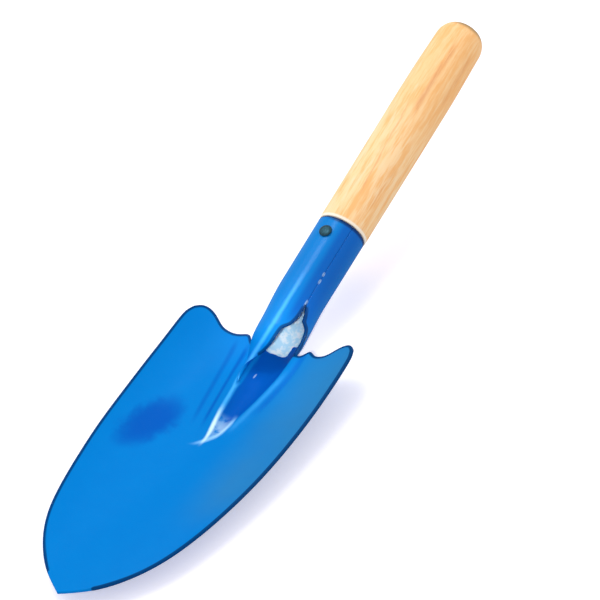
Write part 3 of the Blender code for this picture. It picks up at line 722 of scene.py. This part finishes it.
def paint_material(blade):
    """Glossy enamel on steel, with a faint orange peel. Each layer lies over the one before; besides mottled
    paint, several are painted shade, painted highlights and painted reflections. All lengths are in mm: x, y
    and z in the tool's frame, left and right as distances from the two ridges."""
    g = Graph("blue_enamel")
    place = g.tool_place()
    x, y, z = (part / MM for part in g.axes(place))
    from_axis = z + AXIS_DROP
    hollow, mouth_reflection, left, right, border = (g.attribute(key) for key in PAINT_MAPS)
    deep_and_shade = blade.deep_paint_and_shade[:]
    cloud = g.noise(place, 28.0, 3.0)
    fine = g.noise(place, 260.0, 3.0)
    speckle = fine - 0.5
    # Mottled blue, a lighter, greener painted reflection to the right, and painted shade in the groove
    painted_reflection = g.step(x, 6.0, 32.0) * g.step(y, -115.0, -75.0) * (cloud + 0.05)
    color = g.mix(painted_reflection, blade.paint[:], REFLECTION_TINT)
    color = g.mix(g.noise(place, 110.0, 5.0, 0.65) * 0.2, color, deep_and_shade)
    # Painted shade in the groove, deeper where the groove is deeper
    color = g.mix(g.step(hollow * 0.95 + (cloud - 0.5) * 0.3, 0.0, 0.85), color, deep_and_shade)
    # Painted shade: streaks beside the left ridge, a darker flank beside the right one, and the groove's own
    # floor
    wander = (g.noise(g.stretched(place, (60.0, 14.0, 60.0)), 1.0) - 0.5) * 2.4
    reach = g.span(y, -58.0, -46.0, -14.0, -6.0)
    for middle, half, strength in SHADE_STREAKS:
        color = g.mix(g.band(left + wander, middle, half) * reach * strength, color, deep_and_shade)
    shade = g.band(right + wander * 0.5, 4.0, 3.0) * g.step(y, -46.0, -34.0)
    color = g.mix(shade * 0.6, color, deep_and_shade)
    channel_shade = g.step(left, 0.9, 1.9) * g.step(right, -0.6, -1.8) * g.span(y, -50.0, -44.0, -18.0, -12.0)
    color = g.mix(channel_shade * 0.9, color, deep_and_shade)
    # Painted shade on the right side of the socket, by the angle from its top in radians
    turn = g.math("ARCTAN2", x, from_axis)
    flank = g.step(turn, 0.40, 0.68) * (1.0 - g.step(turn, 1.2, 2.0) * 0.7) * g.step(y, -2.0, 10.0)
    color = g.mix(flank * 0.75, color, deep_and_shade)
    # Painted dark reflection on the left half of the face, an ellipse 9.5 by 17 mm with a ragged edge
    across = (x + 29.0 - (y + 63.0) * 0.18) / 9.5 + speckle * 0.7
    along = (y + 64.0) / 17.0 + (cloud - 0.5) * 1.1
    dark_reflection = 1.0 - g.step(across * across + along * along, 0.1, 1.5)
    color = g.mix(dark_reflection * 0.95, color, deep_and_shade)
    # Painted highlights on the two ridges and up the left wing, not on faces that look at the socket's axis
    normal_x, _, normal_z = g.axes(g.tool_normal())
    inward = g.step(normal_x * x + normal_z * from_axis, -1.0, -4.0)
    crest = g.band(left + speckle * 0.5, 0.3, 1.3) * g.span(y, -66.0, -58.0, -31.0, -27.0)
    line_x, line_z, line_at = HIGHLIGHT_LINE
    wing = g.band(z * line_z + x * line_x + speckle * 0.5, line_at, 1.5) * g.span(y, -32.0, -27.0, 10.0, 32.0)
    wing = wing * g.step(normal_z, 0.0, 0.25) * (1.0 - inward)
    right_crest_highlight = g.band(right + speckle * 0.8, 0.9, 2.0) * g.span(y, -56.0, -50.0, -24.0, -14.0)
    color = g.mix(right_crest_highlight * 0.3, color, HIGHLIGHT_PAINT)
    color = g.mix((crest + wing) * 0.8, color, HIGHLIGHT_PAINT)
    # Painted highlights at the groove's end, inside a hook that curves from the right ridge to the left one,
    # and painted glints
    low = y + 49.5
    outside = x - 4.0 + low * low * 0.04
    hook = g.band(outside + speckle * 1.2, 0.2, 2.4) * g.span(y, -66.5, -61.5, -50.0, -43.0)
    end = g.step(left, -0.3, 0.9) * g.step(outside, 1.0, -0.5) * g.band(y, -53.0, 8.5)
    end = end * g.step(fine, 0.30, 0.54)
    glints = crest * g.step(y, -40.0, -50.0) * 0.9
    for fleck_x, fleck_y, fleck_z, length in FLECKS:
        near = g.stretched(g.shifted(place, (fleck_x * MM, fleck_y * MM, fleck_z * MM)),
                           (1.0 / (FLECK_WIDTH * MM), 1.0 / (length * MM), 1.0 / (FLECK_DEPTH * MM)))
        far = g.node("ShaderNodeVectorMath", {"operation": "LENGTH"}, (near,), "Value")
        glints = glints + g.step(far + speckle * 0.8, 1.0, 0.4) * 0.4
    color = g.mix(hook * 0.75, color, HIGHLIGHT_PAINT)
    color = g.mix(glints + end * 0.4 + hook * 0.3, color, GLINT_PAINT)
    # Painted shade as a dark outline of the cut edges, dark collar at the socket's rim, pale painted
    # reflection inside its mouth
    outline = g.math("MAXIMUM", g.attribute("cut_edge"), g.step(border, 1.7, 1.0) * g.step(y, 15.0, 10.0))
    color = g.mix(outline * 0.9, color, blade.paint_edge[:])
    rim = SOCKET_LENGTH / MM
    collar = g.step(y, rim - 2.1, rim - 1.0) * g.step(x, -4.0, 4.0)
    color = g.mix(collar * 0.8, color, RIM_PAINT)
    # Pale patch of painted reflection inside the mouth, lit further by the mouth spot
    reflection_patch = g.step(mouth_reflection + speckle * 0.7, 0.42, 0.55) * inward
    reflection_tone = g.mix(g.step(g.noise(place, 420.0, 2.0), 0.4, 0.65), *MOUTH_REFLECTION)
    color = g.mix(reflection_patch, color, reflection_tone)
    # Gloss on the socket only, which ends at its outer radius
    out = g.math("SQRT", x * x + from_axis * from_axis)
    gloss = 0.03 + g.step(y, -12.0, 0.0) * g.step(out, 13.5, 12.5) * 0.19
    peel = g.noise(place, 900.0, 1.0)
    bump = g.node("ShaderNodeBump", None, {"Strength": 0.02, "Distance": 0.0002, "Height": peel})
    return g.finish(Base_Color=color, Metallic=0.06 - reflection_patch * 0.06, Roughness=0.38, Specular_IOR_Level=0.0,
                    Coat_Weight=gloss, Coat_Roughness=0.16, Normal=bump)


def wood_material(handle):
    """Pale turned wood: fine grain along the handle, soft mottled bands, a few darker streaks, a dark arc of
    end grain at the butt and a pale band of painted highlight beside the socket's rim. Lengths are in mm."""
    g = Graph("pale_wood")
    place = g.tool_place()
    x, y, z = (part / MM for part in g.axes(place))
    fibre = g.noise(g.stretched(place, (1100.0, 60.0, 1100.0)), 1.0, 4.0, 0.65)
    band = g.noise(g.stretched(place, (130.0, 16.0, 130.0)), 1.0, 3.0, 0.6)
    mottle = g.noise(g.stretched(place, (260.0, 70.0, 260.0)), 1.0, 3.0, 0.6)
    streak = g.noise(g.stretched(place, (190.0, 22.0, 190.0)), 1.7, 3.0, 0.7)
    amount = g.step(band * 0.6 + mottle * 0.4 + fibre * 0.3, 0.40, 0.74)
    color = g.mix(amount, handle.wood[:], handle.wood_mid[:])
    heart = g.step(x, -4.0, 8.0) * 0.5 + g.step(y, 90.0, 160.0) * 0.45
    color = g.mix(heart * (0.6 + mottle * 0.8), color, handle.wood_mid[:])
    color = g.mix(g.step(y, 100.0, 150.0) * mottle * 0.5, color, handle.wood_dark[:])
    grain = g.step(streak * 0.75 + fibre * 0.35 + heart * 0.08, 0.50, 0.72)
    color = g.mix(grain * 0.85, color, handle.wood_dark[:])
    turn = g.math("ARCTAN2", x, z) * math.degrees(1.0) + (mottle - 0.5) * 14.0
    for first, last, low, high, half, strength in STREAKS:
        line = g.node("ShaderNodeMapRange", None,
                      {"Value": y, "From Min": low, "From Max": high, "To Min": first, "To Max": last})
        mark = g.band(turn - line, 0.0, half) * g.span(y, low, low + STREAK_TAPER, high - STREAK_TAPER, high)
        mark = mark * g.step(band + (fibre - 0.5) * 0.6, 0.32, 0.52)
        color = g.mix(mark * strength, color, WOOD_STREAK)
    rim = SOCKET_LENGTH / MM
    butt = rim + HANDLE_LENGTH / MM
    end_grain = g.step(y, butt - 5.0, butt - 2.0) * g.step(x, -4.0, 3.0) * g.step(mottle, 0.32, 0.5)
    color = g.mix(end_grain * 0.8, color, END_GRAIN)
    # Painted highlight on the wood's edge beside the socket's rim
    color = g.mix(g.step(y, rim + 2.2, rim + 1.2) * 0.85, color, WOOD_RIM_HIGHLIGHT)
    bump = g.node("ShaderNodeBump", None, {"Strength": 0.2, "Distance": 0.0002, "Height": fibre})
    return g.finish(Base_Color=color, Roughness=0.6, Specular_IOR_Level=0.3, Normal=bump)


def steel_material(nail):
    """Dull nail steel with fine wear."""
    g = Graph("nail_steel")
    place = g.tool_place()
    wear = g.noise(place, 1400.0, 3.0)
    color = g.mix(g.step(wear, 0.3, 0.8), nail.steel[:], tuple(0.55 * c for c in nail.steel))
    return g.finish(Base_Color=color, Metallic=1.0, Roughness=0.3 + wear * 0.25)


def paint_values(mesh, blade):
    """Values of the maps in PAINT_MAPS at the vertices, in that order."""
    x, y, z = tool_points(mesh, mesh.vertices)
    (left, _), (right, _) = ridge_points(y, blade)
    between = ramp(x, left, left + 2.0 * MM) * ramp(x, right, right - 2.0 * MM)
    depth = face_height(x, y, blade.sheet) - z
    hollow = ramp(depth, 0.0, 1.5 * MM) * between * (y < 30.0 * MM)
    # The pale painted reflection covers the lower half of the socket's wall from the mouth inwards, apart
    # from the mouth's right corner
    from_axis = z - socket_axis(y)
    low = ramp(from_axis, -1.0 * MM, -3.0 * MM) * (np.hypot(x, from_axis) < SOCKET_NECK_RADIUS)
    inwards = ramp(y, -8.5 * MM, -4.5 * MM) * ramp(y, 30.0 * MM, 26.0 * MM)
    corner = ramp(x, 0.5 * MM, 3.0 * MM) * ramp(y, 2.0 * MM, -0.5 * MM)
    mouth_reflection = low * inwards * (1.0 - corner)
    border = border_distance(mesh, np.stack([x, y, z], axis=-1))
    return hollow, mouth_reflection, (x - left) / MM, (x - right) / MM, border / MM


class TROWEL_OT_blade(bpy.types.Operator):
    """Make the pressed blade with its groove and rolled socket"""
    bl_idname = "trowel.blade"
    bl_label = "Blade"

    def execute(self, context):
        blade = context.scene.trowel_blade
        mesh = tool_mesh("trowel_blade", blade_grids(blade))
        for key, values in zip(PAINT_MAPS, paint_values(mesh, blade)):
            mesh.attributes.new(key, "FLOAT", "POINT").data.foreach_set("value", values.astype(np.float32))
        x, y, _ = tool_points(mesh, mesh.polygons)
        # Faces along the outlined cut edges and the rim, which carry the painted shade of the outline
        rim = edge_faces(mesh) * (outlined(x, y) | (y > SOCKET_LENGTH - RIM_ROW))
        mesh.attributes.new("cut_edge", "FLOAT", "FACE").data.foreach_set("value", rim.astype(np.float32))
        piece = new_piece("pressed_blade", mesh, paint_material(blade), "blade")
        sheet = piece.modifiers.new("sheet", "SOLIDIFY")
        sheet.thickness = blade.sheet - 2.0 * TRIM
        sheet.offset = 0.0
        sheet.use_even_offset = True
        sheet.use_quality_normals = True
        edge = piece.modifiers.new("edge", "BEVEL")
        edge.width = blade.edge_round
        edge.segments = 2
        edge.use_clamp_overlap = False
        edge.limit_method = "ANGLE"
        edge.angle_limit = BEVEL_ANGLE
        return {"FINISHED"}


def turned_grid(profile, steps):
    """Surface turned about +Y: each (radius, y) of the profile goes round in a circle."""
    a = np.linspace(0.0, math.tau, steps + 1)
    r, y = np.array(profile).T
    x = r[:, None] * np.sin(a)
    z = r[:, None] * np.cos(a)
    return np.stack([x, y[:, None] + 0.0 * x, z], axis=-1)


def handle_profile(handle):
    """Half section of the handle, (radius, y), from the butt to the tenon's end: a flat, a quarter of an
    ellipse, a belly through four radii, an eased edge at the socket, and a tapered tenon with a chamfer."""
    end = SOCKET_LENGTH + HANDLE_LENGTH
    start = SOCKET_LENGTH + 0.3 * MM
    flat = 5.5 * MM
    drop = 9.0 * MM
    a = np.radians(np.linspace(0.0, 90.0, 25))
    butt = np.stack([flat + (handle.butt_radius - flat) * np.sin(a), end - drop * (1.0 - np.cos(a))], axis=-1)
    shoulder = start + 0.8 * MM
    t = np.linspace(1.0, 0.0, 60)[1:]
    belly = ((0.0, 12.05), (0.35, 12.27), (0.72, handle.grip_radius / MM), (1.0, handle.butt_radius / MM))
    grip = np.stack([bend(belly, t) * MM, shoulder + (end - drop - shoulder) * t], axis=-1)
    top = SOCKET_RIM_RADIUS - 1.75 * MM
    foot = top - 0.24 * MM
    tenon_end = 23.0 * MM
    tenon = ((11.75 * MM, start + 0.25 * MM), (11.15 * MM, start), (top, start), (foot, tenon_end + 1.5 * MM),
             (foot - 1.2 * MM, tenon_end), (0.0, tenon_end))
    return [(0.0, end), (flat / 2.0, end), *butt.tolist(), *grip.tolist(), *tenon]


class TROWEL_OT_handle(bpy.types.Operator):
    """Make the turned wooden handle with its tenon"""
    bl_idname = "trowel.handle"
    bl_label = "Handle"

    def execute(self, context):
        handle = context.scene.trowel_handle
        inside = np.maximum(0.0, np.array(handle_profile(handle)) - (TRIM, 0.0))
        mesh = tool_mesh("trowel_handle", [turned_grid(inside, 160)])
        piece = new_piece("turned_handle", mesh, wood_material(handle), "handle")
        mesh.set_sharp_from_angle(angle=SHARP_ANGLE)
        return {"FINISHED"}


def nail_grid(nail):
    """Nail turned about its own axis, a quarter of an ellipse over a shank with a point, then stood on the
    socket's surface, leaning to the right, 8.2 mm below the rim."""
    rim = 0.3 * MM
    shank = 1.2 * MM
    a = np.radians(np.linspace(0.0, 90.0, 24))
    dome = np.stack([nail.head_radius * np.sin(a), rim + (nail.head_height - rim) * np.cos(a)], axis=-1)
    profile = [*dome.tolist(), (nail.head_radius - 0.1 * MM, 0.0), (shank, 0.0), (shank, -11.0 * MM),
               (0.0, -14.0 * MM)]
    grid = turned_grid(profile, 64)
    lean = math.radians(6.0)
    seat = SOCKET_LENGTH - 8.2 * MM
    gap = 0.08 * MM
    radius = float(socket_radius(seat, 0.0)) + gap
    out = np.array([math.sin(lean), 0.0, math.cos(lean)])
    side = np.array([math.cos(lean), 0.0, -math.sin(lean)])
    back = np.array([0.0, -1.0, 0.0])
    foot = np.array([0.0, seat, 0.0]) + out * radius
    return grid[..., 0:1] * side + grid[..., 2:3] * back + grid[..., 1:2] * out + foot


class TROWEL_OT_nail(bpy.types.Operator):
    """Make the nail that holds the handle"""
    bl_idname = "trowel.nail"
    bl_label = "Nail"

    def execute(self, context):
        nail = context.scene.trowel_nail
        mesh = tool_mesh("trowel_nail", [nail_grid(nail)])
        piece = new_piece("domed_nail", mesh, steel_material(nail), "nail")
        mesh.set_sharp_from_angle(angle=SHARP_ANGLE)
        return {"FINISHED"}


def add_object(name, data):
    """New object for the data, in the scene."""
    made = bpy.data.objects.new(name, data)
    bpy.context.scene.collection.objects.link(made)
    return made


def aim(lamp, place, target):
    """Put a lamp at a place and face it at a target."""
    lamp.location = place
    lamp.rotation_euler = (Vector(place) - Vector(target)).to_track_quat("Z", "Y").to_euler()


def make_floor(stage):
    """Plain matt floor just below the tool. A glow that lights nothing lifts it to white for the camera."""
    mesh = bpy.data.meshes.new("floor")
    corners = [(-FLOOR_REACH, -FLOOR_REACH, 0.0), (FLOOR_REACH, -FLOOR_REACH, 0.0),
               (FLOOR_REACH, FLOOR_REACH, 0.0), (-FLOOR_REACH, FLOOR_REACH, 0.0)]
    mesh.from_pydata(corners, [], [(0, 1, 2, 3)])
    floor = add_object("floor", mesh)
    floor.location = (0.0, 0.0, -FLOOR_GAP)
    g = Graph("pale_floor")
    seen = g.node("ShaderNodeLightPath", output="Is Camera Ray")
    glow = g.mix(seen, (0.0, 0.0, 0.0), stage.floor_glow[:])
    g.finish(Base_Color=stage.floor[:], Roughness=1.0, Specular_IOR_Level=0.0, Emission_Color=glow,
             Emission_Strength=1.0)
    mesh.materials.append(g.material)


def make_sky(stage):
    """World that lights softly from all round, and is white to the camera and in reflections."""
    world = bpy.data.worlds.new("studio")
    bpy.context.scene.world = world
    world.use_nodes = True
    tree = world.node_tree
    path = tree.nodes.new("ShaderNodeLightPath")
    seen = None
    for kind in ("Is Camera Ray", "Is Glossy Ray", "Is Transmission Ray"):
        either = tree.nodes.new("ShaderNodeMath")
        either.operation = "MAXIMUM"
        tree.links.new(path.outputs[kind], either.inputs[0])
        if seen:
            tree.links.new(seen, either.inputs[1])
        seen = either.outputs[0]
    sky = tree.nodes["Background"]
    sky.inputs["Color"].default_value = SKY_COLOR
    sky.inputs["Strength"].default_value = stage.sky
    white = tree.nodes.new("ShaderNodeBackground")
    white.inputs["Color"].default_value = (1.0, 1.0, 1.0, 1.0)
    choice = tree.nodes.new("ShaderNodeMixShader")
    tree.links.new(seen, choice.inputs[0])
    tree.links.new(sky.outputs[0], choice.inputs[1])
    tree.links.new(white.outputs[0], choice.inputs[2])
    tree.links.new(choice.outputs[0], tree.nodes["World Output"].inputs["Surface"])


def make_lamps(stage):
    """Softboxes round the tool, and the spot on the socket's mouth."""
    turn = TOOL.to_3x3()
    for name, toward, size, power in LAMPS:
        data = bpy.data.lights.new(name, "AREA")
        data.energy = power
        data.size = size
        place = STAGE_MIDDLE + turn @ Vector(toward).normalized() * LAMP_DISTANCE
        aim(add_object(name, data), place, STAGE_MIDDLE)
    data = bpy.data.lights.new("mouth", "SPOT")
    data.energy = stage.mouth_power
    data.spot_size = MOUTH_CONE
    data.spot_blend = 0.6
    data.shadow_soft_size = 0.02
    aim(add_object("mouth", data), TOOL @ Vector(MOUTH_LAMP), TOOL @ Vector(MOUTH))


def make_camera(stage):
    """Camera at the photograph's angle, which fills its frame in the same way."""
    lens = bpy.data.cameras.new("camera")
    lens.lens = stage.lens
    lens.sensor_width = 36.0
    camera = add_object("camera", lens)
    place = Matrix.Translation(stage.camera_place) @ Euler(stage.camera_turn).to_matrix().to_4x4()
    camera.matrix_world = TOOL @ place
    bpy.context.scene.camera = camera


class TROWEL_OT_stage(bpy.types.Operator):
    """Set up the floor, the light and the camera"""
    bl_idname = "trowel.stage"
    bl_label = "Stage"

    def execute(self, context):
        stage = context.scene.trowel_stage
        make_floor(stage)
        make_sky(stage)
        make_lamps(stage)
        make_camera(stage)
        context.scene.view_settings.view_transform = "Standard"
        return {"FINISHED"}


class TROWEL_PT_panel(bpy.types.Panel):
    bl_label = "Garden hand trowel"
    bl_space_type = "VIEW_3D"
    bl_region_type = "UI"
    bl_category = "Trowel"

    def draw(self, context):
        for name, group in GROUPS.items():
            box = self.layout.box()
            for key in group.__annotations__:
                box.prop(getattr(context.scene, name), key)
            box.operator(f"trowel.{name.split('_')[1]}")


GROUPS = {
    "trowel_blade": TrowelBlade,
    "trowel_handle": TrowelHandle,
    "trowel_nail": TrowelNail,
    "trowel_stage": TrowelStage,
}
OPERATORS = (TROWEL_OT_blade, TROWEL_OT_handle, TROWEL_OT_nail, TROWEL_OT_stage)


def register():
    for item in (*GROUPS.values(), *OPERATORS, TROWEL_PT_panel):
        bpy.utils.register_class(item)
    for name, group in GROUPS.items():
        setattr(bpy.types.Scene, name, PointerProperty(type=group))


def unregister():
    for name in GROUPS:
        delattr(bpy.types.Scene, name)
    for item in (TROWEL_PT_panel, *reversed(OPERATORS), *reversed(GROUPS.values())):
        bpy.utils.unregister_class(item)


def main():
    register()
    bpy.ops.trowel.blade()
    bpy.ops.trowel.handle()
    bpy.ops.trowel.nail()
    bpy.ops.trowel.stage()


if __name__ == "__main__":
    main()
